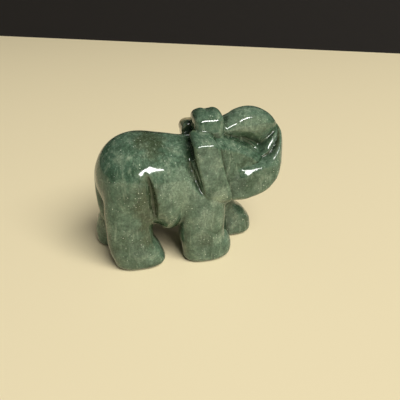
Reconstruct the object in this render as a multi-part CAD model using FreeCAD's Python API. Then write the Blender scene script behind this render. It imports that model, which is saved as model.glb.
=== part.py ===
"""Standing elephant carved from a single piece of green stone, in millimetres.

The animal walks towards +X with its head up. +Y is its left side, +Z is up, and
the four soles are ground flat on z = 0. The trunk curls out, up and back until
its tip meets the forehead. Everything is one piece of stone, so the script fuses
the plain forms that the carver starts from, takes away the wheel cuts, and writes
one solid.
"""
import FreeCAD, Part
import math
import os

Vector = FreeCAD.Vector

# Driving dimensions
CROWN_TOP = 40.5         # height of the whole figure
BACK_TOP = 35.3          # highest point of the rump
BODY_HALF = 10.3         # half width across the flanks
FACE_HALF = 7.4          # half thickness of the face, beside the ears
TRUNK_HALF = 4.5         # half thickness of the curled trunk
CROWN_HALF = 4.6         # half width of the double crown
EAR_HALF = 9.4           # outer face of each ear, from the middle plane
EAR_ROOT = 3.0           # where an ear plate starts inside the head
LEG_OFFSET = 5.4         # leg centre line, from the middle plane
LEG_FLATNESS = 0.73      # a leg's size across the body over its size along it
SHOULDER_CUT = 3.4       # deepest point of the wheel cut behind an ear
THIGH_CUT = 1.3          # depth of the crease in front of a thigh
EDGE_ROUND = 2.2         # rounding round the rim of the trunk
EAR_ROUND = 0.9          # rounding round an ear

# The body's three masses: centre x, centre z, radius along X, radius across Y, radius up Z
RUMP = (-13.2, 23.2, 11.0, BODY_HALF, BACK_TOP - 23.2)
BARREL = (-6.0, 22.0, 13.5, BODY_HALF - 0.1, 12.5)
SHOULDER = (3.0, 22.0, 8.0, BODY_HALF - 0.9, 11.5)
BELLY = (-6.6, 18.2, 5.0, BODY_HALF - 1.0, 9.6)

# Levels of each leg, from sole to hip: height, centre x, radius along X
RIGHT_HIND_LEG = ((0.0, -15.8, 5.7), (1.6, -15.9, 6.5), (4.5, -16.4, 6.6), (9.0, -17.2, 5.9),
                  (16.0, -17.4, 5.8), (24.0, -17.0, 5.8), (29.0, -16.4, 4.4), (32.0, -15.8, 2.4))
LEFT_HIND_LEG = ((0.0, -21.2, 4.6), (1.6, -21.4, 5.3), (5.0, -21.4, 5.6), (8.5, -20.6, 5.5),
                 (15.0, -18.2, 5.5), (24.0, -17.0, 5.8), (29.0, -16.4, 4.4), (32.0, -15.8, 2.4))
RIGHT_FRONT_LEG = ((0.0, 2.8, 5.5), (1.6, 2.9, 6.2), (4.5, 2.9, 6.5), (8.0, 1.9, 6.2),
                   (14.0, 1.8, 6.3), (20.0, 1.6, 6.0), (25.0, 1.4, 4.6), (28.0, 1.2, 2.6))
LEFT_FRONT_LEG = ((0.0, 13.4, 4.6), (1.6, 13.5, 5.4), (4.0, 13.2, 5.5), (7.5, 11.0, 5.3),
                  (13.0, 6.9, 5.4), (19.0, 3.4, 5.4), (24.0, 1.8, 4.4), (27.0, 1.2, 2.4))

# Side view of the head and the curled trunk, x and z, from the notch at the crown
# forwards, round the curl and back under the chin
CURL_OUTLINE = ((8.6, 37.4), (11.2, 38.1), (14.0, 39.2), (17.6, 39.3), (21.4, 37.2), (24.1, 33.2),
                (25.0, 28.0), (24.2, 22.6), (21.8, 18.9), (17.8, 16.0), (13.0, 14.9), (7.0, 15.6),
                (2.5, 20.0), (2.5, 31.0), (5.0, 36.6))
FACE = (6.0, 27.0, 10.0, FACE_HALF, 9.5)

CROWN_BACK = 0.7
CROWN_FRONT = 8.0
CROWN_BUMPS = (2.7, 5.9)     # x of the two domes
CROWN_DIP = 0.7              # the domes stand this far above the block between them

# Back and front edges of an ear: height, back x, front x
EAR_EDGES = ((18.5, 2.4, 9.2), (23.0, 1.3, 8.3), (28.7, 0.0, 6.7), (35.4, -0.8, 4.9))

# Tail ridge down the middle of the rump: x, z, radius
TAIL = ((-22.4, 31.0, 0.9), (-23.5, 27.0, 1.2), (-23.7, 20.0, 1.2), (-22.9, 13.0, 1.4))

# Wheel cuts on each side: x, distance from the middle plane, z, radius
FACE_GROOVE = ((5.0, 8.3, 35.8, 0.3), (8.0, 7.2, 34.8, 0.8), (11.5, 5.8, 33.6, 1.2),
               (14.6, 5.3, 32.1, 1.4), (16.6, 5.1, 30.5, 1.1), (18.0, 4.9, 28.6, 0.4))
TUSK_GROOVE = ((13.0, 5.4, 25.1, 0.3), (15.5, 5.0, 26.3, 0.5), (18.6, 4.8, 28.1, 0.6),
               (20.6, 4.8, 29.8, 0.6), (22.4, 4.7, 32.0, 0.3))
THIGH_CREASE = ((-12.8, 10.7, 30.0, 0.3), (-11.8, 10.7, 26.6, 0.8), (-11.1, 10.4, 23.4, 1.1),
                (-10.7, 10.0, 19.8, THIGH_CUT), (-10.6, 9.5, 16.0, THIGH_CUT))
CURL_SCOOP = (17.8, 6.2, 32.4, 3.5, 3.2, 2.2)    # centre x, y, z and radii of the hollow in the curl

# Levels of the cut behind an ear: height, x of its steep wall, depth from the ear's face
SHOULDER_LEVELS = ((18.5, 2.4, 0.3), (24.0, 1.1, 2.6), (29.0, 0.0, SHOULDER_CUT),
                   (34.0, -0.7, SHOULDER_CUT), (38.5, -1.2, 2.4))
SHOULDER_SLOPE = 1.2         # length of the cut's gentle side over its depth

SECTION_POWER = 2.6          # 2 would be an ellipse; more is squarer
LEFT, RIGHT = 1, -1
SLACK = 4.0                  # how far cutting bodies reach past the stone


def ellipsoid(centre, radii):
    """An ellipsoid along the axes, its seam turned to one flank, off the middle plane."""
    ball = Part.makeSphere(1.0)
    ball.rotate(Vector(0, 0, 0), Vector(0, 0, 1), 90)
    stretch = FreeCAD.Matrix()
    stretch.scale(*radii)
    ball = ball.transformGeometry(stretch)
    ball.translate(centre)
    return ball


def joined(stone, forms):
    """The stone with each form added to it, one after another."""
    for form in forms:
        stone = stone.fuse(form)
    return stone


def carved(stone, cuts):
    """The stone with each cut taken out of it, one after another."""
    for cut in cuts:
        stone = stone.cut(cut)
    return stone


def mass(x, z, along, across, up):
    """One of the body's masses, centred on the middle plane."""
    return ellipsoid(Vector(x, 0, z), (along, across, up))


def closed_curve(points):
    """A smooth closed curve through the points."""
    curve = Part.BSplineCurve()
    curve.interpolate(Points=points, PeriodicFlag=True)
    return Part.Wire(curve.toShape())


def leg_section(height, x, y, along):
    """A leg's level section: an oval with slightly squared corners."""
    points = []
    for step in range(8):
        angle = step * math.pi / 4
        cosine, sine = math.cos(angle), math.sin(angle)
        reach = (abs(cosine) ** SECTION_POWER + abs(sine) ** SECTION_POWER) ** (-1 / SECTION_POWER)
        points.append(Vector(x + along * reach * cosine, y + along * LEG_FLATNESS * reach * sine, height))
    return closed_curve(points)


def leg(levels, side):
    """A column leg, lofted from its sole to the hip inside the body."""
    sections = []
    for height, x, along in levels:
        sections.append(leg_section(height, x, side * LEG_OFFSET, along))
    return Part.makeLoft(sections, True)


def tapered_rod(points):
    """Balls joined by cones along the points, each a position and a radius."""
    pieces = [Part.makeSphere(radius, place) for place, radius in points]
    for (start, r_start), (end, r_end) in zip(points, points[1:]):
        run = end - start
        if abs(r_start - r_end) < 1e-6:
            pieces.append(Part.makeCylinder(r_start, run.Length, start, run))
        else:
            pieces.append(Part.makeCone(r_start, r_end, run.Length, start, run))
    return pieces[0].multiFuse(pieces[1:])


def side_rod(points, side):
    """A tapered rod on one side of the middle plane."""
    return tapered_rod([(Vector(x, side * y, z), radius) for x, y, z, radius in points])


def make_curl():
    """The curled trunk and the head behind it: a thick plate with a rounded rim."""
    outline = closed_curve([Vector(x, -TRUNK_HALF, z) for x, z in CURL_OUTLINE])
    plate = Part.Face(outline).extrude(Vector(0, 2 * TRUNK_HALF, 0))
    return plate.makeFillet(EDGE_ROUND, plate.Edges)


def make_crown():
    """The block above the forehead, with two low domes side by side along X."""
    block_top = CROWN_TOP - CROWN_DIP
    base = 28.0
    block = Part.makeBox(CROWN_FRONT - CROWN_BACK, 2 * CROWN_HALF, block_top - base,
                         Vector(CROWN_BACK, -CROWN_HALF, base))
    upright = [edge for edge in block.Edges if edge.BoundBox.ZLength > 1]
    block = block.makeFillet(1.6, upright)
    rim = [edge for edge in block.Edges if edge.BoundBox.ZMin > block_top - 0.01]
    block = block.makeFillet(1.4, rim)
    dome_height = 2.6
    domes = [mass(x, CROWN_TOP - dome_height, 1.9, CROWN_HALF - 0.4, dome_height) for x in CROWN_BUMPS]
    return block.multiFuse(domes)


def make_ear(side):
    """A flat ear: a plate from inside the head to its own outer face."""
    backs = [Vector(back, side * EAR_ROOT, z) for z, back, _ in EAR_EDGES]
    fronts = [Vector(front, side * EAR_ROOT, z) for z, _, front in reversed(EAR_EDGES)]
    corners = backs + fronts
    face = Part.Face(Part.makePolygon(corners + corners[:1]))
    plate = face.extrude(Vector(0, side * (EAR_HALF - EAR_ROOT), 0))
    outer = side * EAR_HALF
    rim = [edge for edge in plate.Edges
           if abs(edge.BoundBox.YMin - outer) < 0.01 and abs(edge.BoundBox.YMax - outer) < 0.01]
    return plate.makeFillet(EAR_ROUND, rim)


def make_shoulder_cut(side):
    """The wedge ground out behind an ear: a steep wall at the ear, a long slope on the shoulder."""
    sections = []
    outer = EAR_HALF + SLACK
    for height, wall_x, depth in SHOULDER_LEVELS:
        reach = (depth + SLACK) * SHOULDER_SLOPE
        corners = [Vector(wall_x, side * (EAR_HALF + 0.9 - depth), height),
                   Vector(wall_x, side * outer, height),
                   Vector(wall_x - reach, side * outer, height)]
        sections.append(Part.makePolygon(corners + corners[:1]))
    return Part.makeLoft(sections, True, True)


def make_body():
    """The trunk of the body with its four legs and the tail."""
    rod = [(Vector(x, 0, z), radius) for x, z, radius in TAIL]
    forms = [
        mass(*BARREL),
        mass(*SHOULDER),
        mass(*BELLY),
        leg(RIGHT_HIND_LEG, RIGHT),
        leg(LEFT_HIND_LEG, LEFT),
        leg(RIGHT_FRONT_LEG, RIGHT),
        leg(LEFT_FRONT_LEG, LEFT),
        tapered_rod(rod),
    ]
    return joined(mass(*RUMP), forms)


def make_head():
    """The head: the curled trunk, the fuller face and the crown, with the grooves cut in."""
    head = joined(make_curl(), [mass(*FACE), make_crown()])
    cuts = []
    for side in (LEFT, RIGHT):
        x, y, z, *radii = CURL_SCOOP
        cuts += [side_rod(FACE_GROOVE, side), side_rod(TUSK_GROOVE, side),
                 ellipsoid(Vector(x, side * y, z), radii)]
    return carved(head, cuts)


def make_elephant():
    """The whole carving as one solid, standing on z = 0 and centred over the origin."""
    stone = joined(make_body(), [make_head(), make_ear(LEFT), make_ear(RIGHT)])
    cuts = []
    for side in (LEFT, RIGHT):
        cuts += [make_shoulder_cut(side), side_rod(THIGH_CREASE, side)]
    solid = carved(stone, cuts).Solids[0]
    box = solid.optimalBoundingBox(False)
    solid.translate(Vector(-box.Center.x, -box.Center.y, -box.ZMin))
    return solid, box


def main():
    """Writes the one STEP file and reports the stone's size."""
    os.makedirs("parts", exist_ok=True)
    elephant, box = make_elephant()
    print("valid", elephant.isValid(), "solids", len(elephant.Solids), "faces", len(elephant.Faces))
    print("size", round(box.XLength, 2), round(box.YLength, 2), round(box.ZLength, 2))
    print("moved by", round(-box.Center.x, 3), round(-box.Center.y, 3), round(-box.ZMin, 3))
    print("volume cm3", round(elephant.Volume / 1000, 2))
    elephant.exportStep("parts/carved_elephant.step")


main()
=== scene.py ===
"""Standing elephant carved from one piece of polished green stone.

The carving is made the way a carver makes it. Every mass of the animal is first
roughed out as a plain block, the blocks become one stone, and the stone is then
ground and polished until it meets the smooth forms and the wheel cuts.

Forms are measured in millimetres in the carver's own frame: x forwards from the
middle of the barrel, y to the animal's left and z up from the soles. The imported
frame gives the place of that frame on the part.
"""
import logging
import math
from dataclasses import dataclass
from enum import Enum

import bmesh
import bpy
import numpy as np
from mathutils import Matrix, Vector


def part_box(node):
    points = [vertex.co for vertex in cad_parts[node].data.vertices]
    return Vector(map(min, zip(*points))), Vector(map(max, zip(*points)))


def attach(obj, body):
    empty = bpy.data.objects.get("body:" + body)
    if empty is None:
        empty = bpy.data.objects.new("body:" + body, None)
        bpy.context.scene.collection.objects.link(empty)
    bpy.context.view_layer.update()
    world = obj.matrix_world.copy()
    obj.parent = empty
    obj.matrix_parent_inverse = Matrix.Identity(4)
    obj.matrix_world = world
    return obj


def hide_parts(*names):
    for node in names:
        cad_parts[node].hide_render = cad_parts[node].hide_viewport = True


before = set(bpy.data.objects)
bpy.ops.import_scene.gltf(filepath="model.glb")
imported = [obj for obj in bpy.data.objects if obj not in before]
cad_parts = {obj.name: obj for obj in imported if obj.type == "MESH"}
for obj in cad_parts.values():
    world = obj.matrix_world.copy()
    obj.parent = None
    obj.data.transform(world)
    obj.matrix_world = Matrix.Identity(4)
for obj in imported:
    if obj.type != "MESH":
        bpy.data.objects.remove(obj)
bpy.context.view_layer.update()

log = logging.getLogger("elephant")

NODE = "carved_elephant"
BODY = "root"
MM = 0.001
HEEL_X = -27.07          # the left hind heel, the rearmost point, in the carver's frame

Array = np.ndarray


class Side(Enum):
    """A side of the animal, with the sign of y on it."""

    LEFT = 1
    RIGHT = -1


# ---------------------------------------------------------------- measuring distances

def blend_min(a: Array, b: Array, radius: float) -> Array:
    """Joins two masses with a smooth fillet.

    Args:
        a: distances to the first mass.
        b: distances to the second mass.
        radius: how far the fillet reaches.

    Returns:
        Distances to both masses together.
    """
    reach = np.maximum(radius - np.abs(a - b), 0) / radius
    return np.minimum(a, b) - reach ** 3 * radius / 6


def blend_max(a: Array, b: Array, radius: float) -> Array:
    """Keeps what two masses share, with a softened edge.

    Args:
        a: distances to the first mass.
        b: distances to the second mass.
        radius: how far the softening reaches.

    Returns:
        Distances to the shared part.
    """
    return -blend_min(-a, -b, radius)


def ease(low: float, high: float, value: Array) -> Array:
    """A smooth step from 0 at low to 1 at high."""
    t = np.clip((value - low) / (high - low), 0, 1)
    return t * t * (3 - 2 * t)


def monotone(levels: Array, values: Array, at: Array) -> Array:
    """A smooth curve through given values that never overshoots them.

    Args:
        levels: the rising heights or places that have a given value.
        values: the value at each level.
        at: where to read the curve.

    Returns:
        The value at each place.
    """
    gaps = np.diff(levels)
    rises = np.diff(values) / gaps
    slopes = np.zeros(len(values))
    same_way = rises[:-1] * rises[1:] > 0
    inner = np.where(same_way, 2 * rises[:-1] * rises[1:] / np.where(same_way, rises[:-1] + rises[1:], 1), 0)
    slopes[1:-1] = inner
    at = np.clip(at, levels[0], levels[-1])
    left = np.clip(np.searchsorted(levels, at) - 1, 0, len(gaps) - 1)
    t = (at - levels[left]) / gaps[left]
    start, end = values[left], values[left + 1]
    run = gaps[left]
    return ((2 * t ** 3 - 3 * t ** 2 + 1) * start + (t ** 3 - 2 * t ** 2 + t) * run * slopes[left]
            + (3 * t ** 2 - 2 * t ** 3) * end + (t ** 3 - t ** 2) * run * slopes[left + 1])


def smooth_path(points: Array, steps: int) -> Array:
    """A Catmull-Rom curve through rows of numbers.

    Args:
        points: one row for each point, with any number of columns.
        steps: pieces between two points.

    Returns:
        The rows along the curve.
    """
    ends = np.vstack([2 * points[0] - points[1], points, 2 * points[-1] - points[-2]])
    rows = []
    for a, b, c, d in zip(ends, ends[1:], ends[2:], ends[3:]):
        t = np.linspace(0, 1, steps, endpoint=False)[:, None]
        rows.append(0.5 * (2 * b + (c - a) * t + (2 * a - 5 * b + 4 * c - d) * t ** 2
                           + (3 * b - a - 3 * c + d) * t ** 3))
    rows.append(points[-1:])
    return np.vstack(rows)


def chain_distance(at: Array, path: Array) -> Array:
    """Distance to a chain of tapered rods.

    Args:
        at: places to measure from, one row each.
        path: rows of a place and a radius, with one more column than at.

    Returns:
        The distance to the chain's skin, negative inside.
    """
    best = np.full(len(at), 1e9)
    for start, end in zip(path, path[1:]):
        run = end[:-1] - start[:-1]
        share = np.clip((at - start[:-1]) @ run / max(run @ run, 1e-9), 0, 1)
        gap = np.linalg.norm(at - start[:-1] - share[:, None] * run, axis=1)
        best = np.minimum(best, gap - start[-1] - (end[-1] - start[-1]) * share)
    return best


# ---------------------------------------------------------------- the forms

@dataclass(frozen=True)
class Mass:
    """An egg-shaped mass, tilted nose down about Y by tilt degrees."""

    centre: tuple[float, float, float]
    radii: tuple[float, float, float]
    tilt: float = 0.0

    def rough(self, bm: bmesh.types.BMesh) -> None:
        """Adds the roughed-out ball to the block.

        Args:
            bm: the block.
        """
        place = (Matrix.Translation(self.centre) @ Matrix.Rotation(math.radians(self.tilt), 4, "Y")
                 @ Matrix.Diagonal((*self.radii, 1)))
        bmesh.ops.create_icosphere(bm, subdivisions=4, radius=1.0, matrix=place)

    def distance(self, at: Array) -> Array:
        """Distance from each place to the mass.

        Args:
            at: places to measure from, one row each.

        Returns:
            The distances, negative inside.
        """
        turn = math.radians(self.tilt)
        cos, sin = math.cos(turn), math.sin(turn)
        turned = np.array([[cos, 0, sin], [0, 1, 0], [-sin, 0, cos]])
        local = (at - np.array(self.centre)) @ turned
        radii = np.array(self.radii)
        near = np.linalg.norm(local / radii, axis=1)
        slope = np.linalg.norm(local / radii ** 2, axis=1)
        return near * (near - 1) / np.maximum(slope, 1e-9)


@dataclass(frozen=True)
class Rod:
    """A round tapered rod along points of x, y, z and radius."""

    points: tuple[tuple[float, float, float, float], ...]
    steps: int = 6

    def path(self) -> Array:
        """The rod's centre line with its radii."""
        return smooth_path(np.array(self.points), self.steps)

    def rough(self, bm: bmesh.types.BMesh) -> None:
        """Adds the rod to the block as overlapping balls.

        Args:
            bm: the block.
        """
        for x, y, z, radius in self.path():
            place = Matrix.Translation((x, y, z))
            bmesh.ops.create_icosphere(bm, subdivisions=2, radius=radius, matrix=place)

    def distance(self, at: Array) -> Array:
        """Distance from each place to the rod.

        Args:
            at: places to measure from, one row each.

        Returns:
            The distances, negative inside.
        """
        return chain_distance(at, self.path())


@dataclass(frozen=True)
class Leg:
    """A column leg through levels of height, centre x and radius along the body."""

    side: Side
    levels: tuple[tuple[float, float, float], ...]
    offset: float = 5.4          # centre line, from the middle plane
    flatness: float = 0.73       # size across the body over size along it
    power: float = 2.6           # 2 is an oval section, more is squarer

    def rough(self, bm: bmesh.types.BMesh) -> None:
        """Adds the leg as a turned column, drawn up level by level.

        Args:
            bm: the block.
        """
        first_z, first_x, first_r = self.levels[0]
        y = self.side.value * self.offset
        section = Matrix.Diagonal((first_r, first_r * self.flatness, 1, 1))
        base = Matrix.Translation((first_x, y, first_z)) @ section
        ring = bmesh.ops.create_circle(bm, cap_ends=True, radius=1.0, segments=32, matrix=base)
        face = ring["verts"][0].link_faces[0]
        here_x, here_r, here_z = first_x, first_r, first_z
        for height, x, radius in self.levels[1:]:
            grown = bmesh.ops.extrude_discrete_faces(bm, faces=[face])
            face = grown["faces"][0]
            grow = Matrix.Diagonal((radius / here_r, radius / here_r, 1, 1))
            move = Matrix.Translation((x, y, height)) @ grow @ Matrix.Translation((-here_x, -y, -here_z))
            bmesh.ops.transform(bm, matrix=move, verts=face.verts[:])
            here_x, here_r, here_z = x, radius, height
        rim = {edge for vert in ring["verts"] if vert.is_valid for edge in vert.link_edges}
        bmesh.ops.edgeloop_fill(bm, edges=[edge for edge in rim if edge.is_boundary])

    def distance(self, at: Array) -> Array:
        """Distance from each place to the leg.

        Args:
            at: places to measure from, one row each.

        Returns:
            The distances, negative inside.
        """
        heights, centres, radii = np.array(self.levels).T
        centre = monotone(heights, centres, at[:, 2])
        radius = monotone(heights, radii, at[:, 2])
        along = np.abs(at[:, 0] - centre) / radius
        across = np.abs(at[:, 1] - self.side.value * self.offset) / (radius * self.flatness)
        reach = (along ** self.power + across ** self.power) ** (1 / self.power)
        share = along / np.maximum(along + across, 1e-6)
        skin = (reach - 1) * radius * (self.flatness + (1 - self.flatness) * share)
        return np.maximum(skin, at[:, 2] - heights[-1])


@dataclass(frozen=True)
class FaceRelief:
    """The relief cut into each side of the head: cheek, tusk, lip and the hollow inside the curl.

    The wheel lines of brow and tusk run in side view as x, z and half width.
    """

    flat: float = 4.3            # half thickness of the curl's flat part
    taper: float = 0.28          # how fast the curl thins towards its outline
    taper_from: float = 5.0      # and how far inside the outline that starts
    wedge: tuple[tuple[float, float], ...] = (   # half thickness of the face, from the ear forwards
        (0.0, 8.2), (8.0, 7.6), (13.0, 6.8), (16.0, 6.4), (20.0, 5.3), (22.0, 4.45), (25.0, 3.1), (28.0, 2.0))
    wedge_lean: float = 0.5      # how far forward the wedge reads for each step above its level
    wedge_level: float = 26.0
    wedge_blend: float = 0.8
    cheek: tuple[float, float] = (-0.3, 2.4)     # depths below the brow where the cheek starts and is full
    brow: tuple[tuple[float, float, float], ...] = (
        (4.8, 35.1, 0.1), (7.0, 34.6, 0.35), (9.0, 34.0, 0.5), (11.5, 33.0, 0.6), (14.0, 31.6, 0.7),
        (16.0, 30.2, 0.7), (18.0, 28.4, 0.2))
    brow_cut: float = 1.1
    tusk_line: tuple[tuple[float, float, float], ...] = (
        (14.6, 27.0, 0.1), (17.0, 27.3, 0.35), (18.9, 27.9, 0.5), (20.3, 28.9, 0.5), (21.6, 30.6, 0.5),
        (22.6, 32.8, 0.2))
    tusk_cut: float = 0.7
    lip: tuple[tuple[float, float, float], ...] = (   # along, up, and how far the lower lip stands out
        (10.0, 25.3, 1.5), (12.8, 25.4, 1.5), (15.3, 25.6, 1.2), (17.4, 25.9, 1.4), (19.2, 26.5, 1.7),
        (20.8, 27.4, 1.95), (22.0, 28.8, 2.2), (22.8, 30.4, 2.0), (23.4, 32.5, 1.55), (23.8, 36.0, 1.4))
    lip_fade: tuple[float, float] = (9.0, 15.0)  # x where the lip starts and is full
    lip_droop: float = 0.1       # how fast the lower lip falls away downwards
    lip_start: tuple[float, float] = (25.9, 7.5)         # height and half thickness where its facet starts
    tusk_crest: tuple[float, float, float] = (20.4, 30.0, 52.0)   # a point on the tusk's crest and its slope
    tusk_half: float = 4.3       # half thickness there
    facet_lean: float = 0.52     # how fast the polished facets of lip and tusk lean back
    lip_facet: float = 0.7       # widths of the two facets
    tusk_facet: float = 1.0
    wall: float = 1.2            # fall of the stone past the facets
    pit_top: float = 36.6        # where the stone starts to fall towards the hollow
    pit_fall: float = 0.5
    pit_fade: tuple[float, float] = (8.5, 14.0)  # x where the hollow starts and is full
    pit_brow: float = 1.6        # rise of the hollow's side along the brow
    pit_blend: float = 0.4
    pit_depth: float = 2.5

    def line(self, side_view: Array, points: tuple[tuple[float, float, float], ...], cut: float) -> Array:
        """Depth of a wheel line.

        Args:
            side_view: places in side view.
            points: the line's x, z and half width.
            cut: how deep it is.

        Returns:
            The depth at each place.
        """
        widest = max(point[-1] for point in points)
        inside = -chain_distance(side_view, smooth_path(np.array(points), 5))
        return cut * ease(0.0, widest, inside)

    def pit(self, x: Array, z: Array, brow_z: Array, wedge: Array) -> Array:
        """Depth of the three-sided hollow between the brow, the tusk and the top of the curl.

        Args:
            x: places along the animal.
            z: their heights.
            brow_z: the brow's height at each place.
            wedge: the face's half thickness at each place.

        Returns:
            The depth at each place.
        """
        edge_x, edge_z, slope = self.tusk_crest
        turn = math.radians(slope)
        past = (z - edge_z) * math.cos(turn) - (x - edge_x) * math.sin(turn)
        right = np.maximum(wedge - self.facet(z, edge_z, self.tusk_half), 0)
        right = right + self.wall * np.maximum(past - self.tusk_facet, 0)
        top = np.maximum(self.pit_top - z, 0)
        top = self.pit_fall * top ** 2 / (top + 1.0) * ease(*self.pit_fade, x)
        depth = blend_min(blend_min(top, right, self.pit_blend), self.pit_brow * (z - brow_z), self.pit_blend)
        return np.minimum(np.maximum(depth, 0), self.pit_depth)

    def facet(self, z: Array, level: float, half: float) -> Array:
        """Half thickness along a polished facet, which is half at the level and leans back evenly upwards."""
        return half - self.facet_lean * (z - level)

    def height(self, x: Array, z: Array, outline: Array) -> Array:
        """Half thickness of the head.

        Args:
            x: places along the animal.
            z: their heights.
            outline: their distances to the head's outline in side view.

        Returns:
            The half thickness at each place.
        """
        side_view = np.stack([x, z], axis=1)
        brow_z = np.interp(x, *np.array(self.brow).T[:2])
        wedge = monotone(*np.array(self.wedge).T, x + self.wedge_lean * (z - self.wedge_level))
        curl = self.flat - self.taper * np.maximum(outline + self.taper_from, 0)
        curl = blend_min(curl, wedge, self.wedge_blend)
        below = ease(*self.cheek, brow_z - z)
        lip = self.lip_height(x, z, wedge) * ease(*self.lip_fade, x)
        sunk = self.line(side_view, self.brow, self.brow_cut)
        sunk = sunk + self.line(side_view, self.tusk_line, self.tusk_cut)
        return curl + (wedge - curl) * below + lip - sunk - self.pit(x, z, brow_z, wedge)

    def lip_height(self, x: Array, z: Array, wedge: Array) -> Array:
        """How far the lower lip stands out: full below its crest, a polished facet and a wall above it.

        Args:
            x: places along the animal.
            z: their heights.
            wedge: the face's half thickness at each place.

        Returns:
            The rise at each place.
        """
        places, heights, rises = np.array(self.lip).T
        crest = monotone(places, heights, x)
        run = 0.1
        lean = (monotone(places, heights, x + run) - monotone(places, heights, x - run)) / (2 * run)
        past = (z - crest) / np.sqrt(1 + lean ** 2)
        facet = self.facet(z, *self.lip_start) - wedge
        facet = facet - self.wall * np.maximum(past - self.lip_facet, 0)
        rise = np.interp(x, places, rises) - self.lip_droop * np.maximum(-past, 0)
        return np.maximum(np.minimum(rise, facet), 0)


@dataclass(frozen=True)
class CurledTrunk:
    """Head and curled trunk, sawn in side view as one thick plate and cut in relief.

    Outlines run as discs of x, z and radius.
    """

    curl: tuple[tuple[float, float, float], ...] = (
        (8.8, 35.3, 2.4), (10.6, 35.5, 3.0), (12.3, 35.4, 3.8), (13.7, 35.1, 4.8), (15.6, 34.7, 5.4),
        (17.6, 33.3, 5.7), (19.2, 30.6, 5.5), (19.4, 27.2, 5.2), (18.0, 24.5, 5.1), (15.0, 23.3, 6.1),
        (10.0, 23.8, 6.8), (6.0, 24.6, 7.7))
    face: tuple[tuple[float, float, float], ...] = ((6.0, 24.0, 8.0), (7.0, 29.0, 6.5), (13.0, 29.0, 6.0))
    relief: FaceRelief = FaceRelief()
    rim: float = 1.9             # rounding of the plate's edge
    evening: float = 0.8         # takes account of the relief's slopes in the distance to it
    steps: int = 6

    def rough(self, bm: bmesh.types.BMesh) -> None:
        """Adds the plate as discs sawn side by side along the curl.

        Args:
            bm: the block.
        """
        for outline in (self.curl, self.face):
            for x, z, radius in smooth_path(np.array(outline), self.steps):
                place = Matrix.Translation((x, 0, z)) @ Matrix.Rotation(math.radians(90), 4, "X")
                bmesh.ops.create_cone(bm, cap_ends=True, segments=40, radius1=radius, radius2=radius,
                                      depth=2 * self.relief.flat, matrix=place)

    def distance(self, at: Array) -> Array:
        """Distance from each place to the plate.

        Args:
            at: places to measure from, one row each.

        Returns:
            The distances, negative inside.
        """
        side_view = at[:, [0, 2]]
        curl = chain_distance(side_view, smooth_path(np.array(self.curl), self.steps))
        face = chain_distance(side_view, smooth_path(np.array(self.face), self.steps))
        outline = np.minimum(curl, face)
        past = np.abs(at[:, 1]) - self.relief.height(at[:, 0], at[:, 2], curl)
        return rounded_plate(outline, past * self.evening, self.rim)


def rounded_plate(outline: Array, depth: Array, rim: float) -> Array:
    """Distance to a plate whose two faces meet its edge in a round rim.

    Args:
        outline: distances to the plate's outline in side view.
        depth: distances past the plate's face.
        rim: radius of the rounding.

    Returns:
        Distances to the plate.
    """
    past = np.stack([outline, depth], axis=1) + rim
    return np.linalg.norm(np.maximum(past, 0), axis=1) + np.minimum(past.max(axis=1), 0) - rim


@dataclass(frozen=True)
class Crown:
    """The block over the forehead with two low domes, one behind the other."""

    back: float = 0.65           # x of its rear and front
    front: float = 8.05
    base: float = 27.0           # heights of its root and of its top
    top: float = 39.75
    half: float = 4.6            # half its width
    corner: float = 1.7
    taper: float = 0.2           # how fast the block narrows upwards
    taper_from: float = 35.5
    domes: tuple[float, float] = (2.8, 5.9)      # x of the domes
    dome_radii: tuple[float, float, float] = (2.05, 3.3, 2.5)
    dome_top: float = 40.5
    fillet: float = 1.1

    def centre(self) -> tuple[float, float, float]:
        """The block's middle."""
        return (self.back + self.front) / 2, 0.0, (self.base + self.top) / 2

    def sizes(self) -> tuple[float, float, float]:
        """Half the block's length, width and height."""
        return (self.front - self.back) / 2, self.half, (self.top - self.base) / 2

    def masses(self) -> list[Mass]:
        """The two domes."""
        return [Mass((x, 0.0, self.dome_top - self.dome_radii[2]), self.dome_radii) for x in self.domes]

    def rough(self, bm: bmesh.types.BMesh) -> None:
        """Adds the block and its domes.

        Args:
            bm: the block.
        """
        place = Matrix.Translation(self.centre()) @ Matrix.Diagonal((*self.sizes(), 1))
        block = bmesh.ops.create_cube(bm, size=2.0, matrix=place)
        edges = list({edge for vert in block["verts"] for edge in vert.link_edges})
        bmesh.ops.bevel(bm, geom=edges, offset=self.corner, segments=3, affect="EDGES", profile=0.5,
                        material=-1)
        for dome in self.masses():
            dome.rough(bm)

    def distance(self, at: Array) -> Array:
        """Distance from each place to the crown.

        Args:
            at: places to measure from, one row each.

        Returns:
            The distances, negative inside.
        """
        past = np.abs(at - np.array(self.centre())) - np.array(self.sizes()) + self.corner
        past[:, 1] += self.taper * np.maximum(at[:, 2] - self.taper_from, 0)
        block = np.linalg.norm(np.maximum(past, 0), axis=1) + np.minimum(past.max(axis=1), 0) - self.corner
        first, second = self.masses()
        domes = np.minimum(first.distance(at), second.distance(at))
        return blend_min(block, domes, self.fillet)


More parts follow.
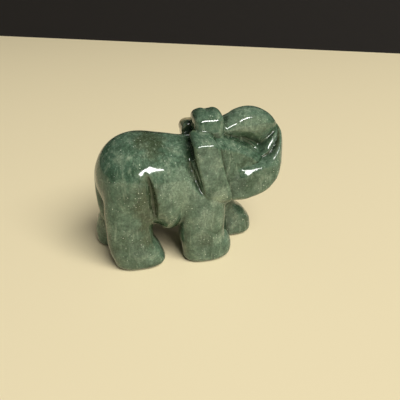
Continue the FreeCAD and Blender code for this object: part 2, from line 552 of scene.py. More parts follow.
@dataclass(frozen=True)
class Ear:
    """A flat ear flap: edges by height in side view, and the outer face's place."""

    side: Side
    heights: tuple[float, ...] = (18.0, 21.0, 25.0, 28.7, 32.2, 36.5)
    backs: tuple[float, ...] = (3.0, 1.7, 0.9, 0.1, -0.5, -0.9)
    fronts: tuple[float, ...] = (9.4, 8.9, 7.6, 6.6, 6.0, 4.3)
    faces: tuple[float, ...] = (9.2, 9.8, 9.9, 9.6, 9.3, 9.0)    # outer face, from the middle plane
    set_back: float = 0.0        # how much further back the ear's rear edge lies
    top: float = 35.9
    bottom: float = 18.2
    top_fall: float = 0.28       # how steeply the top ledge falls outwards
    ledge_root: float = 4.6      # where the ledge meets the crown
    root: float = 3.0            # where the flap's inner side lies, from the middle plane
    corner: float = 1.3          # rounding of the flap's corners in side view
    edge: float = 0.8            # softness where its front and rear edges meet
    end: float = 1.0             # and where its top and bottom do
    rim: float = 0.9             # rounding of the outer face's edge
    root_edge: float = 0.5
    crease_depth: float = 2.1
    crease_width: float = 0.1    # half width at the crease's floor
    crease_flare: float = 0.3    # how fast it widens outwards
    crease_ahead: float = 0.25   # how far in front of the flap's edge it runs
    crease_ends: tuple[float, float] = (2.0, 1.0)        # how far it stays clear of the bottom and the top

    def rough(self, bm: bmesh.types.BMesh) -> None:
        """Adds the flap as a leaning board.

        Args:
            bm: the block.
        """
        lean = math.atan2(self.backs[0] - self.backs[-1], self.heights[-1] - self.heights[0])
        face = self.faces[3]
        middle = ((self.backs[2] + self.fronts[2]) / 2 - self.set_back / 2,
                  self.side.value * (self.root + face) / 2, (self.top + self.bottom) / 2)
        size = (self.fronts[2] - self.backs[2], face - self.root, self.top - self.bottom)
        place = (Matrix.Translation(middle) @ Matrix.Rotation(-lean, 4, "Y") @ Matrix.Diagonal((*size, 1)))
        bmesh.ops.create_cube(bm, size=1.0, matrix=place)

    def along(self, values: tuple[float, ...], z: Array) -> Array:
        """Reads one of the ear's edges at each height."""
        return monotone(np.array(self.heights), np.array(values), z)

    def crease(self, at: Array) -> Array:
        """Distance from each place to the stone taken out along the ear's front edge.

        Args:
            at: places to measure from, one row each.

        Returns:
            The distances, negative inside.
        """
        x, out, z = at[:, 0], self.side.value * at[:, 1], at[:, 2]
        across = x - self.along(self.fronts, z) - self.crease_ahead
        floor = self.along(self.faces, z) - self.crease_depth
        groove = np.abs(across) - self.crease_width - self.crease_flare * (out - floor)
        low, high = self.crease_ends
        ends = np.maximum(self.bottom + low - z, z - self.top + high)
        return np.maximum(np.maximum(groove, floor - out), ends)

    def distance(self, at: Array) -> Array:
        """Distance from each place to the ear.

        Args:
            at: places to measure from, one row each.

        Returns:
            The distances, negative inside.
        """
        x, out, z = at[:, 0], self.side.value * at[:, 1], at[:, 2]
        rear, front = self.along(self.backs, z) - self.set_back - x, x - self.along(self.fronts, z)
        sides = blend_max(rear, front, self.edge)
        ledge = z - self.top + self.top_fall * (out - self.ledge_root)
        ends = blend_max(ledge, self.bottom - z, self.end)
        outline = rounded_plate(sides, ends, self.corner)
        plate = rounded_plate(outline, out - self.along(self.faces, z), self.rim)
        return blend_max(plate, self.root - out, self.root_edge)


@dataclass(frozen=True)
class SlopedCut:
    """A wheel cut with a steep wall in front and a long slope behind it, the same on both sides."""

    heights: tuple[float, ...]
    walls: tuple[float, ...]     # x of the wall's outer edge at each height
    floors: tuple[float, ...]    # how far from the middle plane the cut's floor lies
    outer: float                 # how far out the wall's edge is
    lean: float                  # how far the wall leans back for its depth
    slope: float                 # rise of the long side, going back from the wall
    edge: float = 0.5            # softness of the cut's floor

    def distance(self, at: Array, set_back: Array | float = 0.0) -> Array:
        """Distance from each place to the stone that the wheel takes away.

        Args:
            at: places to measure from.
            set_back: how much further back the wall lies at each place.

        Returns:
            The distances.
        """
        heights = np.array(self.heights)
        wall = monotone(heights, np.array(self.walls), at[:, 2]) - set_back
        floor = monotone(heights, np.array(self.floors), at[:, 2])
        out = np.abs(at[:, 1])
        front = (at[:, 0] - wall + self.lean * (self.outer - out)) / math.hypot(1, self.lean)
        foot = wall - self.lean * (self.outer - floor)
        rise = floor + self.slope * (foot - at[:, 0])
        return blend_max(front, (rise - out) / math.hypot(1, self.slope), self.edge)


# ---------------------------------------------------------------- the sub-assemblies

@dataclass(frozen=True)
class Torso:
    """Rump, barrel, shoulders and belly, with the four legs and the tail."""

    rump: Mass = Mass((-13.2, 0.0, 23.2), (10.8, 10.3, 12.1))
    barrel: Mass = Mass((-8.6, 0.0, 22.2), (14.0, 10.25, 12.2), -10.0)
    shoulder: Mass = Mass((1.0, 0.0, 21.8), (9.0, 8.9, 12.0))
    haunch: Mass = Mass((-15.4, 0.0, 24.4), (9.0, 9.3, 10.2))
    belly: Mass = Mass((-6.9, 0.0, 17.9), (5.5, 10.3, 9.5))
    toe: Mass = Mass((7.0, -5.4, 3.2), (3.2, 4.0, 4.6))
    legs: tuple[Leg, ...] = (
        Leg(Side.RIGHT, ((0.0, -15.2, 6.2), (1.6, -15.4, 6.9), (4.5, -16.3, 6.8), (9.0, -17.4, 6.1),
                         (16.0, -17.5, 5.9), (23.0, -17.0, 5.4), (26.0, -16.6, 4.4), (28.5, -16.2, 3.0)),
            offset=5.2, flatness=0.7),
        Leg(Side.LEFT, ((0.0, -21.2, 4.8), (1.6, -21.4, 5.3), (5.0, -21.4, 5.6), (8.5, -20.6, 5.5),
                        (15.0, -18.2, 5.5), (22.0, -17.2, 5.2), (26.0, -16.6, 4.2), (28.5, -16.2, 3.0)),
            offset=6.1, flatness=0.66),
        Leg(Side.RIGHT, ((0.0, 2.7, 5.9), (1.6, 2.8, 6.4), (4.5, 2.5, 6.4), (8.0, 1.8, 6.2),
                         (14.0, 1.9, 6.3), (19.0, 1.8, 5.8), (23.0, 1.5, 4.6), (27.0, 1.2, 2.6))),
        Leg(Side.LEFT, ((0.0, 13.4, 5.2), (1.6, 13.5, 5.7), (4.0, 13.4, 5.6), (7.0, 12.1, 5.2), (9.5, 9.6, 5.1),
                        (13.0, 6.9, 5.4), (19.0, 3.4, 5.4), (24.0, 1.8, 4.4), (27.0, 1.2, 2.4)),
            flatness=0.84))
    tail: Rod = Rod(((-22.4, 0.0, 29.5, 0.6), (-23.4, 0.0, 26.0, 1.1), (-23.9, 0.0, 20.0, 1.2),
                     (-23.2, 0.0, 13.0, 1.3), (-21.8, 0.0, 10.0, 0.8)))
    back_fillet: float = 3.0
    hip_fillet: float = 2.0
    belly_fillet: float = 1.4
    tail_fillet: float = 0.8
    toe_fillet: float = 0.5

    def rough(self, bm: bmesh.types.BMesh) -> None:
        """Roughs out every mass of the torso.

        Args:
            bm: the block.
        """
        masses = (self.rump, self.haunch, self.barrel, self.shoulder, self.belly)
        for form in (*masses, *self.legs, self.toe, self.tail):
            form.rough(bm)

    def distance(self, at: Array) -> Array:
        """Distance from each place to the torso.

        Args:
            at: places to measure from, one row each.

        Returns:
            The distances, negative inside.
        """
        stone = blend_min(self.rump.distance(at), self.barrel.distance(at), self.back_fillet)
        for mass in (self.haunch, self.shoulder):
            stone = blend_min(stone, mass.distance(at), self.back_fillet)
        for leg in self.legs:
            stone = blend_min(stone, leg.distance(at), self.hip_fillet)
        stone = blend_min(stone, self.belly.distance(at), self.belly_fillet)
        stone = blend_min(stone, self.toe.distance(at), self.toe_fillet)
        return blend_min(stone, self.tail.distance(at), self.tail_fillet)


@dataclass(frozen=True)
class Head:
    """The curled trunk with its face in relief, and the crown."""

    trunk: CurledTrunk = CurledTrunk()
    crown: Crown = Crown()
    brow_fillet: float = 0.8

    def rough(self, bm: bmesh.types.BMesh) -> None:
        """Roughs out the trunk and the crown.

        Args:
            bm: the block.
        """
        self.trunk.rough(bm)
        self.crown.rough(bm)

    def distance(self, at: Array) -> Array:
        """Distance from each place to the head.

        Args:
            at: places to measure from, one row each.

        Returns:
            The distances, negative inside.
        """
        return blend_min(self.trunk.distance(at), self.crown.distance(at), self.brow_fillet)


@dataclass(frozen=True)
class Elephant:
    """The whole carving: torso, head and ears as one stone, with the long wheel cuts taken out."""

    torso: Torso = Torso()
    head: Head = Head()
    right_ear: Ear = Ear(Side.RIGHT)
    left_ear: Ear = Ear(Side.LEFT, set_back=0.9, top_fall=0.06, corner=2.3)
    shoulder_cut: SlopedCut = SlopedCut(
        heights=(15.0, 18.5, 22.0, 25.0, 29.0, 33.0, 37.0, 39.5),
        walls=(4.2, 2.9, 1.5, 0.9, 0.0, -0.6, -0.9, -1.0),
        floors=(16.0, 11.2, 8.6, 7.4, 6.6, 6.6, 7.5, 9.5), outer=9.6, lean=0.42, slope=0.85)
    thigh_crease: SlopedCut = SlopedCut(
        heights=(11.0, 13.0, 15.5, 17.6, 20.2, 23.8, 27.2, 30.0, 32.0),
        walls=(-9.6, -9.7, -9.8, -9.9, -10.2, -10.7, -11.4, -12.4, -13.4),
        floors=(15.0, 10.0, 8.3, 8.0, 8.2, 8.7, 9.1, 9.7, 12.5), outer=10.0, lean=0.45, slope=0.65)
    neck_fillet: float = 1.2
    ear_fillet: float = 0.3
    ear_crease_edge: float = 0.2
    cut_edge: float = 0.5
    sole_edge: float = 1.1

    def rough(self, bm: bmesh.types.BMesh) -> None:
        """Roughs out the whole animal.

        Args:
            bm: the block.
        """
        for part in (self.torso, self.head, self.right_ear, self.left_ear):
            part.rough(bm)

    def distance(self, at: Array) -> Array:
        """Distance from each place to the finished stone.

        Args:
            at: places to measure from, one row each.

        Returns:
            The distances, negative inside.
        """
        stone = blend_min(self.torso.distance(at), self.head.distance(at), self.neck_fillet)
        for ear in (self.right_ear, self.left_ear):
            stone = blend_max(stone, -ear.crease(at), self.ear_crease_edge)
            stone = blend_min(stone, ear.distance(at), self.ear_fillet)
        set_back = np.where(at[:, 1] > 0, self.left_ear.set_back, 0.0)
        stone = blend_max(stone, -self.shoulder_cut.distance(at, set_back), self.cut_edge)
        stone = blend_max(stone, -self.thigh_crease.distance(at), self.cut_edge)
        return rounded_plate(stone, -at[:, 2], self.sole_edge)


# ---------------------------------------------------------------- carving the mesh

@dataclass(frozen=True)
class Carver:
    """Turns roughed-out blocks into one polished skin."""

    coarse_grit: float = 0.5     # millimetres between points of the first skin
    fine_grit: float = 0.29      # and of the finished one
    quick_grit: float = 0.42     # and of a trial piece
    grinding_passes: int = 6     # over the rough skin
    polishing_passes: int = 2    # between two smoothings
    polishing_rounds: int = 2
    last_passes: int = 3
    feel: float = 0.02           # step used to feel the slope of the surface
    least_slope: float = 0.3     # a flatter reading is taken as this
    max_bite: float = 1.2        # the most that one pass may move a point
    relax: float = 0.5           # share of the way that a smoothing moves a point
    probes: tuple[float, ...] = (1.0, 2.5, 4.5)  # depths at which the stone's thickness is felt

    def block(self, elephant: Elephant) -> bpy.types.Mesh:
        """Roughs out the animal as overlapping blocks.

        Args:
            elephant: the forms to rough out.

        Returns:
            A mesh of closed blocks that pass through each other.
        """
        bm = bmesh.new()
        elephant.rough(bm)
        bmesh.ops.recalc_face_normals(bm, faces=bm.faces)
        mesh = bpy.data.meshes.new("rough_block")
        bm.to_mesh(mesh)
        bm.free()
        return mesh

    def one_skin(self, mesh: bpy.types.Mesh, grit: float) -> bpy.types.Mesh:
        """Makes a mesh one closed skin of even faces.

        Args:
            mesh: the blocks or the skin to go over, in millimetres.
            grit: the distance between the new skin's points.

        Returns:
            The new skin. The old mesh is removed.
        """
        holder = bpy.data.objects.new("being_carved", mesh)
        bpy.context.scene.collection.objects.link(holder)
        remesh = holder.modifiers.new("skin", "REMESH")
        remesh.mode = "VOXEL"
        remesh.voxel_size = grit
        skin = bpy.data.meshes.new_from_object(holder.evaluated_get(bpy.context.evaluated_depsgraph_get()))
        bpy.data.objects.remove(holder)
        bpy.data.meshes.remove(mesh)
        return skin

    def slope(self, elephant: Elephant, at: Array) -> tuple[Array, Array]:
        """Feels the stone around each place.

        Args:
            elephant: the forms.
            at: places near the surface.

        Returns:
            The distance at each place and the unit slope away from the stone.
        """
        corners = np.array([[1, -1, -1], [-1, -1, 1], [-1, 1, -1], [1, 1, 1]], float)
        readings = [elephant.distance(at + self.feel * corner) for corner in corners]
        slope = sum(corner * reading[:, None] for corner, reading in zip(corners, readings))
        size = np.linalg.norm(slope, axis=1) / (4 * self.feel)
        unit = slope / np.maximum(4 * self.feel * size, 1e-9)[:, None]
        return sum(readings) / 4 / np.maximum(size, self.least_slope), unit

    def places(self, mesh: bpy.types.Mesh) -> Array:
        """The points of a skin, one row each."""
        flat = np.empty(len(mesh.vertices) * 3)
        mesh.vertices.foreach_get("co", flat)
        return flat.reshape(-1, 3)

    def grind(self, elephant: Elephant, mesh: bpy.types.Mesh, passes: int) -> None:
        """Moves the points of a skin onto the smooth forms.

        Args:
            elephant: the forms.
            mesh: the skin, in millimetres.
            passes: how many times to go over it.
        """
        places = self.places(mesh)
        for _ in range(passes):
            gap, unit = self.slope(elephant, places)
            places -= unit * np.clip(gap, -self.max_bite, self.max_bite)[:, None]
        mesh.vertices.foreach_set("co", places.ravel())
        mesh.update()

    def smooth(self, mesh: bpy.types.Mesh, times: int) -> None:
        """Evens out a skin's faces.

        Args:
            mesh: the skin.
            times: how often to go over it.
        """
        bm = bmesh.new()
        bm.from_mesh(mesh)
        for _ in range(times):
            bmesh.ops.smooth_vert(bm, verts=bm.verts, factor=self.relax, use_axis_x=True, use_axis_y=True,
                                  use_axis_z=True)
        bm.to_mesh(mesh)
        bm.free()

    def carve(self, elephant: Elephant) -> bpy.types.Mesh:
        """Carves the animal from its blocks.

        Args:
            elephant: the forms.

        Returns:
            The finished skin, in millimetres in the carver's frame.
        """
        skin = self.one_skin(self.block(elephant), self.coarse_grit)
        self.grind(elephant, skin, self.grinding_passes)
        self.smooth(skin, 1)
        self.grind(elephant, skin, self.polishing_passes)
        skin = self.one_skin(skin, self.fine_grit)
        for _ in range(self.polishing_rounds):
            self.grind(elephant, skin, self.polishing_passes)
            self.smooth(skin, 2)
        self.grind(elephant, skin, self.last_passes)
        return skin

    def feel_thickness(self, elephant: Elephant, mesh: bpy.types.Mesh) -> None:
        """Stores how thin and how hollow the stone is at each point, from 0 to 1.

        Args:
            elephant: the forms.
            mesh: the finished skin, in millimetres.
        """
        places = self.places(mesh)
        _, unit = self.slope(elephant, places)
        thin = np.zeros(len(places))
        hollow = np.zeros(len(places))
        for depth in self.probes:
            thin += np.clip(1 + elephant.distance(places - depth * unit) / depth, 0, 1) / len(self.probes)
            hollow += np.clip(1 - elephant.distance(places + depth * unit) / depth, 0, 1) / len(self.probes)
        for name, values in (("thin", thin), ("hollow", hollow)):
            layer = mesh.attributes.new(name, "FLOAT", "POINT")
            layer.data.foreach_set("value", values)


# ---------------------------------------------------------------- the finish

@dataclass(frozen=True)
class Tone:
    """A stone colour, as linear red, green and blue."""

    red: float
    green: float
    blue: float

    def rgba(self) -> tuple[float, float, float, float]:
        """The colour with full opacity."""
        return self.red, self.green, self.blue, 1.0


def srgb(red: int, green: int, blue: int) -> Tone:
    """A tone from the 0 to 255 values a screen shows."""
    linear = []
    for value in (red, green, blue):
        share = value / 255
        linear.append(share / 12.92 if share <= 0.04045 else ((share + 0.055) / 1.055) ** 2.4)
    return Tone(*linear)


class Graph:
    """A small helper that adds nodes to a material and wires them."""

    def __init__(self, tree: bpy.types.NodeTree) -> None:
        """Starts on an empty node tree."""
        self.tree = tree
        self.tree.nodes.clear()

    def add(self, kind: str, **settings: object) -> bpy.types.Node:
        """Adds a node and sets its properties.

        Args:
            kind: the node's type name.
            settings: properties of the node.

        Returns:
            The new node.
        """
        node = self.tree.nodes.new(kind)
        for name, value in settings.items():
            setattr(node, name, value)
        return node

    def wire(self, start: bpy.types.NodeSocket, end: bpy.types.NodeSocket) -> None:
        """Joins two sockets."""
        self.tree.links.new(start, end)

    def ramp(self, factor: bpy.types.NodeSocket, stops: list[tuple[float, Tone]]) -> bpy.types.NodeSocket:
        """A colour ramp.

        Args:
            factor: what is looked up.
            stops: places from 0 to 1 with their tones.

        Returns:
            The ramp's colour.
        """
        node = self.add("ShaderNodeValToRGB")
        elements = node.color_ramp.elements
        while len(elements) < len(stops):
            elements.new(0.5)
        for element, (place, tone) in zip(elements, stops):
            element.position = place
            element.color = tone.rgba()
        self.wire(factor, node.inputs["Fac"])
        return node.outputs["Color"]

    def band(self, factor: bpy.types.NodeSocket, low: float, high: float, to_low: float = 0.0,
             to_high: float = 1.0) -> bpy.types.NodeSocket:
        """Maps a range onto another, smoothly and clamped.

        Args:
            factor: what is mapped.
            low: start of its range.
            high: end of its range.
            to_low: the result at the start.
            to_high: the result at the end.

        Returns:
            The result.
        """
        node = self.add("ShaderNodeMapRange", interpolation_type="SMOOTHSTEP")
        for name, value in (("From Min", low), ("From Max", high), ("To Min", to_low), ("To Max", to_high)):
            node.inputs[name].default_value = value
        self.wire(factor, node.inputs["Value"])
        return node.outputs["Result"]

    def mix(self, factor: bpy.types.NodeSocket | float, first: bpy.types.NodeSocket,
            second: bpy.types.NodeSocket | Tone, way: str = "MIX") -> bpy.types.NodeSocket:
        """Mixes two colours.

        Args:
            factor: a mask, or one share for all.
            first: the colour where the factor is 0.
            second: the colour where it is 1.
            way: how the second goes on the first.

        Returns:
            The mixed colour.
        """
        node = self.add("ShaderNodeMix", data_type="RGBA", blend_type=way)
        if isinstance(factor, float):
            node.inputs[0].default_value = factor
        else:
            self.wire(factor, node.inputs[0])
        self.wire(first, node.inputs[6])
        if isinstance(second, Tone):
            node.inputs[7].default_value = second.rgba()
        else:
            self.wire(second, node.inputs[7])
        return node.outputs[2]

    def times(self, first: bpy.types.NodeSocket, second: bpy.types.NodeSocket) -> bpy.types.NodeSocket:
        """Multiplies two values."""
        node = self.add("ShaderNodeMath", operation="MULTIPLY")
        self.wire(first, node.inputs[0])
        self.wire(second, node.inputs[1])
        return node.outputs[0]

    def noise(self, vector: bpy.types.NodeSocket, scale: float, detail: float = 4.0, rough: float = 0.55,
              distortion: float = 0.0) -> bpy.types.NodeSocket:
        """A cloudy noise.

        Args:
            vector: where it is read.
            scale: features per metre.
            detail: how many finer layers it has.
            rough: how strong those are.
            distortion: how far it is swirled.

        Returns:
            The noise, about 0.5 on average.
        """
        node = self.add("ShaderNodeTexNoise")
        settings = {"Scale": scale, "Detail": detail, "Roughness": rough, "Distortion": distortion}
        for name, value in settings.items():
            node.inputs[name].default_value = value
        self.wire(vector, node.inputs["Vector"])
        return node.outputs["Fac"]


@dataclass(frozen=True)
class StainOrLightPatch:
    """A soft cloud of another tone, in millimetres in the carver's frame: the stone's own tone, a darker place,
    or a patch of painted light.
    """

    centre: tuple[float, float, float]
    radii: tuple[float, float, float]
    tone: Tone
    strength: float


@dataclass(frozen=True)
class GreenStone:
    """Polished, slightly translucent green stone with clouds, streaks, coloured patches and mica flecks; it
    carries painted shade in its cuts, a painted glow on thin edges, painted light on lit patches and painted
    glints on the mica.
    """

    deep: Tone = srgb(44, 68, 48)
    middle: Tone = srgb(83, 106, 86)
    pale: Tone = srgb(128, 144, 120)
    # the left ear's brown tone, made pale as painted light shining through the shaded ear
    ear_brown_and_glow: Tone = srgb(214, 196, 150)
    teal: Tone = srgb(54, 84, 66)
    olive: Tone = srgb(60, 71, 49)
    # painted shade: darkens the cuts and hollows
    groove: Tone = srgb(28, 48, 28)
    # painted glow: warm light shining through thin edges
    thin_edge_glow: Tone = srgb(122, 118, 78)
    # pale streaks in the stone, and painted light on lit patches
    light: Tone = srgb(160, 176, 150)
    # mica flecks, painted bright as glints
    mica_glint: Tone = srgb(226, 236, 214)
    gloss: float = 0.07          # roughness of the polish
    refraction: float = 1.56
    translucency: float = 0.16
    scatter: float = 0.0012      # how far light spreads inside, in metres
    cloud_scale: float = 330.0   # features per metre of each pattern
    ragged_scale: float = 420.0
    grain_scale: float = 1900.0
    streak_scale: float = 1300.0
    fleck_scale: float = 2300.0
    patch_scale: float = 240.0
    streak_stretch: float = 0.16

    def stains_and_light_patches(self) -> tuple[StainOrLightPatch, ...]:
        """The patches: teal rump and olive thigh in the stone; darker on top of the back, low on the near legs
        and on the far front leg; painted light on the lit flank, near front leg and ear tip, painted sheen on
        top of the curl; the brown left ear, made pale as painted light through its shade.
        """
        return (
            StainOrLightPatch((-21.0, 0.0, 24.0), (8.0, 14.0, 12.0), self.teal, 0.6),
            # darker on top of the back
            StainOrLightPatch((-10.5, -2.0, 33.5), (4.5, 8.0, 5.0), self.olive, 0.85),
            StainOrLightPatch((-12.5, -8.0, 18.0), (3.6, 8.0, 11.0), self.olive, 0.8),
            # darker low on the near hind leg
            StainOrLightPatch((-17.0, -8.0, 8.0), (6.0, 8.0, 7.0), self.olive, 0.3),
            # painted light: paler where the flank, the near front leg and the ear's lower tip face the light
            StainOrLightPatch((-4.0, -9.0, 24.0), (4.5, 6.0, 6.5), self.light, 0.22),
            StainOrLightPatch((2.5, -9.0, 14.0), (3.6, 6.0, 3.6), self.light, 0.25),
            StainOrLightPatch((5.5, -9.0, 20.0), (2.4, 5.0, 3.0), self.light, 0.4),
            # darker low on the near front leg
            StainOrLightPatch((2.0, -8.0, 8.0), (3.0, 6.0, 3.0), self.olive, 0.5),
            # painted sheen: paler on top of the trunk's curl
            StainOrLightPatch((14.0, 0.0, 37.0), (6.0, 9.0, 3.5), self.light, 0.25),
            # darker on the far front leg
            StainOrLightPatch((16.0, 5.4, 5.0), (6.0, 5.0, 8.0), self.olive, 0.5),
            # the brown left ear, made pale as painted light through its shade
            StainOrLightPatch((0.0, 9.0, 34.0), (4.0, 4.5, 5.0), self.ear_brown_and_glow, 0.85))

    def make(self, shift_x: float) -> bpy.types.Material:
        """Builds the stone's material.

        Args:
            shift_x: where the carver's frame lies along the part, in millimetres.

        Returns:
            The material.
        """
        material = bpy.data.materials.new("green_stone_polished")
        material.use_nodes = True
        graph = Graph(material.node_tree)
        place = graph.add("ShaderNodeTexCoord").outputs["Object"]
        # painted shade in the cuts and a painted glow through thin edges
        colour = self.depth(graph, self.clouds(graph, place))
        for patch in self.stains_and_light_patches():
            colour = self.patched(graph, place, colour, patch, shift_x)
        colour = self.speckle(graph, place, colour)
        # mica flecks painted bright as glints
        colour = graph.mix(self.flecks(graph, place), colour, self.mica_glint)
        shader = graph.add("ShaderNodeBsdfPrincipled")
        graph.wire(colour, shader.inputs["Base Color"])
        shader.inputs["Roughness"].default_value = self.gloss
        shader.inputs["IOR"].default_value = self.refraction
        shader.inputs["Subsurface Weight"].default_value = self.translucency
        shader.inputs["Subsurface Radius"].default_value = (0.7, 1.0, 0.6)
        shader.inputs["Subsurface Scale"].default_value = self.scatter
        output = graph.add("ShaderNodeOutputMaterial")
        graph.wire(shader.outputs["BSDF"], output.inputs["Surface"])
        return material

    def clouds(self, graph: Graph, place: bpy.types.NodeSocket) -> bpy.types.NodeSocket:
        """The stone's cloudy ground colour.

        Args:
            graph: the material's nodes.
            place: object coordinates.

        Returns:
            The colour socket.
        """
        cloud = graph.noise(place, self.cloud_scale, 7.0, 0.62, 0.5)
        return graph.ramp(cloud, [(0.30, self.deep), (0.52, self.middle), (0.78, self.pale)])

    def patched(self, graph: Graph, place: bpy.types.NodeSocket, colour: bpy.types.NodeSocket, patch: StainOrLightPatch,
                shift_x: float) -> bpy.types.NodeSocket:
        """Lays one ragged-edged patch of tone, or of painted light, over a colour.

        Args:
            graph: the material's nodes.
            place: object coordinates.
            colour: the colour so far.
            patch: the stain.
            shift_x: where the carver's frame lies along the part, in millimetres.

        Returns:
            The colour socket.
        """
        x, y, z = patch.centre
        moved = graph.add("ShaderNodeVectorMath", operation="SUBTRACT")
        moved.inputs[1].default_value = ((x + shift_x) * MM, y * MM, z * MM)
        graph.wire(place, moved.inputs[0])
        scaled = graph.add("ShaderNodeVectorMath", operation="MULTIPLY")
        scaled.inputs[1].default_value = tuple(1 / (radius * MM) for radius in patch.radii)
        graph.wire(moved.outputs[0], scaled.inputs[0])
        reach = graph.add("ShaderNodeVectorMath", operation="LENGTH")
        graph.wire(scaled.outputs[0], reach.inputs[0])
        ragged = graph.add("ShaderNodeMath", operation="ADD")
        graph.wire(reach.outputs["Value"], ragged.inputs[0])
        uneven = graph.noise(place, self.ragged_scale, 5.0, 0.65)
        graph.wire(graph.band(uneven, 0.3, 0.7, -0.35, 0.35), ragged.inputs[1])
        return graph.mix(graph.band(ragged.outputs[0], 0.35, 1.2, patch.strength, 0.0), colour, patch.tone)

    def speckle(self, graph: Graph, place: bpy.types.NodeSocket,
                colour: bpy.types.NodeSocket) -> bpy.types.NodeSocket:
        """Breaks the colour up with fine grain and upright streaks.

        Args:
            graph: the material's nodes.
            place: object coordinates.
            colour: the colour so far.

        Returns:
            The colour socket.
        """
        levels = ((0.3, 0.5), (0.5, 0.95), (0.72, 1.6))
        shades = [(share, Tone(level, level, level)) for share, level in levels]
        grain = graph.ramp(graph.noise(place, self.grain_scale, 5.0, 0.75), shades)
        colour = graph.mix(1.0, colour, grain, "MULTIPLY")
        stretched = graph.add("ShaderNodeVectorMath", operation="MULTIPLY")
        stretched.inputs[1].default_value = (1.0, 1.0, self.streak_stretch)
        graph.wire(place, stretched.inputs[0])
        streaks = graph.noise(stretched.outputs[0], self.streak_scale, 3.0, 0.6)
        return graph.mix(graph.band(streaks, 0.54, 0.72, 0.0, 0.3), colour, self.light)

    def depth(self, graph: Graph, colour: bpy.types.NodeSocket) -> bpy.types.NodeSocket:
        """Paints shade into the cuts and hollows, and a warm glow of light shining through the thin edges.

        Args:
            graph: the material's nodes.
            colour: the ground colour.

        Returns:
            The colour socket.
        """
        hollow = graph.add("ShaderNodeAttribute", attribute_name="hollow").outputs["Fac"]
        thin = graph.add("ShaderNodeAttribute", attribute_name="thin").outputs["Fac"]
        # painted shade: the groove tone darkens the hollows
        colour = graph.mix(graph.band(hollow, 0.1, 0.6, 0.0, 0.8), colour, self.groove)
        # painted glow: warm light shining through the thin edges
        return graph.mix(graph.band(thin, 0.5, 1.0, 0.0, 0.3), colour, self.thin_edge_glow)

    def flecks(self, graph: Graph, place: bpy.types.NodeSocket) -> bpy.types.NodeSocket:
        """Small bright mica flecks under the polish, painted bright as glints.

        Args:
            graph: the material's nodes.
            place: object coordinates.

        Returns:
            The fleck mask.
        """
        cells = graph.add("ShaderNodeTexVoronoi", feature="F1")
        cells.inputs["Scale"].default_value = self.fleck_scale
        graph.wire(place, cells.inputs["Vector"])
        core = graph.band(cells.outputs["Distance"], 0.14, 0.36, 1.0, 0.0)
        lottery = graph.add("ShaderNodeSeparateColor")
        graph.wire(cells.outputs["Color"], lottery.inputs["Color"])
        chosen = graph.band(lottery.outputs["Red"], 0.82, 0.97)
        patches = graph.band(graph.noise(place, self.patch_scale, 2.0), 0.45, 0.62, 0.1, 0.85)
        return graph.times(graph.times(core, chosen), patches)


# ---------------------------------------------------------------- the stage

@dataclass(frozen=True)
class Lamp:
    """A rectangular soft light that faces the stone. Lengths are millimetres, angles degrees."""

    name: str
    azimuth: float               # its direction from the stone, from -Y towards +X
    elevation: float
    distance: float
    size: tuple[float, float]
    watts: float
    tint: tuple[float, float, float]
    mirrored: bool               # the polish shows it, or else it lights the colour
    roll: float = 0.0            # how it is turned about its own axis


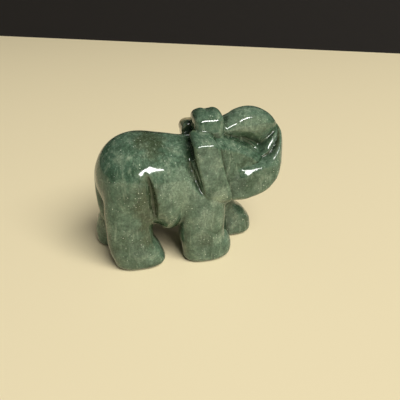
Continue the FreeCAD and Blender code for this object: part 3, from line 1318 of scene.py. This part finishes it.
@dataclass(frozen=True)
class Stage:
    """Camera, table, backcloth and soft lights, in millimetres and degrees."""

    azimuth: float = -12.0
    elevation: float = 30.0
    distance: float = 112.0
    target: tuple[float, float, float] = (2.6, 0.0, 14.4)
    lens: float = 36.1
    sensor: float = 36.0
    table: Tone = srgb(235, 222, 184)
    table_size: float = 3000.0
    cloth: Tone = srgb(28, 26, 27)
    cloth_back: float = 345.0    # how far the cloth stands behind the stone
    cloth_turn: float = -27.0    # and how it is turned
    cloth_size: tuple[float, float] = (3000.0, 900.0)
    lamps: tuple[Lamp, ...] = (
        Lamp("window", 9.0, 24.5, 1000.0, (450.0, 160.0), 6.5, (1.0, 0.99, 0.97), True, 35.0),
        Lamp("broad", 30.0, 50.0, 2400.0, (1700.0, 1500.0), 80.0, (1.0, 0.975, 0.935), False))
    lamp_aim: float = 20.0       # height that the lamps face
    room_grey: float = 0.86
    room_strength: float = 0.1

    def look(self, azimuth: float, elevation: float) -> Vector:
        """The unit direction from the stone towards a place round it, from its two angles in degrees."""
        turn, rise = math.radians(azimuth), math.radians(elevation)
        return Vector((math.sin(turn) * math.cos(rise), -math.cos(turn) * math.cos(rise), math.sin(rise)))

    def camera(self, shift_x: float) -> None:
        """Puts the camera at the viewing angle.

        Args:
            shift_x: where the carver's frame lies along the part, in millimetres.
        """
        data = bpy.data.cameras.new("camera")
        data.lens = self.lens
        data.sensor_width = self.sensor
        data.clip_start = 0.005
        data.clip_end = 20.0
        camera = bpy.data.objects.new("camera", data)
        bpy.context.scene.collection.objects.link(camera)
        target = Vector(self.target) + Vector((shift_x, 0, 0))
        back = self.look(self.azimuth, self.elevation)
        camera.location = (target + back * self.distance) * MM
        camera.rotation_euler = back.to_track_quat("Z", "Y").to_euler()
        bpy.context.scene.camera = camera

    def board(self, name: str, place: Matrix, tone: Tone, roughness: float) -> None:
        """A flat board of one tone.

        Args:
            name: the board's name.
            place: where a unit square lying flat goes, in metres.
            tone: its colour.
            roughness: how dull it is.
        """
        bm = bmesh.new()
        bmesh.ops.create_grid(bm, x_segments=1, y_segments=1, size=0.5, matrix=place)
        mesh = bpy.data.meshes.new(name)
        bm.to_mesh(mesh)
        bm.free()
        board = bpy.data.objects.new(name, mesh)
        bpy.context.scene.collection.objects.link(board)
        material = bpy.data.materials.new(name + "_paint")
        material.use_nodes = True
        shader = material.node_tree.nodes["Principled BSDF"]
        shader.inputs["Base Color"].default_value = tone.rgba()
        shader.inputs["Roughness"].default_value = roughness
        mesh.materials.append(material)

    def floor(self) -> None:
        """The pale table, with a dark cloth standing behind it."""
        self.board("table", Matrix.Scale(self.table_size * MM, 4), self.table, 0.6)
        width, height = self.cloth_size
        turn = Matrix.Rotation(math.radians(self.cloth_turn), 4, "Z")
        stand = (Matrix.Translation((0, self.cloth_back * MM, height / 2 * MM))
                 @ Matrix.Rotation(math.radians(90), 4, "X"))
        spread = Matrix.Diagonal((width * MM, height * MM, 1.0, 1.0))
        self.board("backcloth", turn @ stand @ spread, self.cloth, 0.9)

    def hang(self, lamp: Lamp) -> None:
        """Hangs one lamp.

        Args:
            lamp: the lamp.
        """
        data = bpy.data.lights.new(lamp.name, "AREA")
        data.shape = "RECTANGLE"
        data.size, data.size_y = (side * MM for side in lamp.size)
        data.energy = lamp.watts
        data.color = lamp.tint
        light = bpy.data.objects.new(lamp.name, data)
        direction = self.look(lamp.azimuth, lamp.elevation)
        light.location = (direction * lamp.distance + Vector((0, 0, self.lamp_aim))) * MM
        facing = direction.to_track_quat("Z", "Y").to_matrix().to_4x4()
        light.rotation_euler = (facing @ Matrix.Rotation(math.radians(lamp.roll), 4, "Z")).to_euler()
        light.visible_glossy = lamp.mirrored
        light.visible_diffuse = not lamp.mirrored
        bpy.context.scene.collection.objects.link(light)

    def lights(self) -> None:
        """A window at the front right, a broad soft light round it and a dim room."""
        for lamp in self.lamps:
            self.hang(lamp)
        world = bpy.data.worlds.new("room")
        world.use_nodes = True
        backdrop = world.node_tree.nodes["Background"]
        backdrop.inputs["Color"].default_value = (self.room_grey, self.room_grey, self.room_grey, 1.0)
        backdrop.inputs["Strength"].default_value = self.room_strength
        bpy.context.scene.world = world

    def build(self, shift_x: float) -> None:
        """Sets up the whole stage.

        Args:
            shift_x: where the carver's frame lies along the part, in millimetres.
        """
        self.camera(shift_x)
        self.floor()
        self.lights()
        bpy.context.scene.view_settings.view_transform = "Standard"


def carve_elephant(shift_x: float) -> bpy.types.Object:
    """Carves the elephant, places it on the part and gives it its finish.

    Args:
        shift_x: where the carver's frame lies along the part, in millimetres.

    Returns:
        The finished piece.
    """
    elephant = Elephant()
    carver = Carver()
    mesh = carver.carve(elephant)
    carver.feel_thickness(elephant, mesh)
    mesh.transform(Matrix.Translation((shift_x * MM, 0, 0)) @ Matrix.Scale(MM, 4))
    mesh.name = "polished_elephant"
    for polygon in mesh.polygons:
        polygon.use_smooth = True
    mesh.materials.clear()
    mesh.materials.append(GreenStone().make(shift_x))
    piece = bpy.data.objects.new("polished_elephant", mesh)
    bpy.context.scene.collection.objects.link(piece)
    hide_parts(NODE)
    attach(piece, BODY)
    return piece


def main() -> None:
    """Builds the stage and the carving."""
    logging.basicConfig(level=logging.INFO, format="%(name)s: %(message)s")
    low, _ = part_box(NODE)
    shift_x = low[0] / MM - HEEL_X
    Stage().build(shift_x)
    piece = carve_elephant(shift_x)
    log.info("%s: %d points, %d faces", piece.name, len(piece.data.vertices), len(piece.data.polygons))


if __name__ == "__main__":
    main()
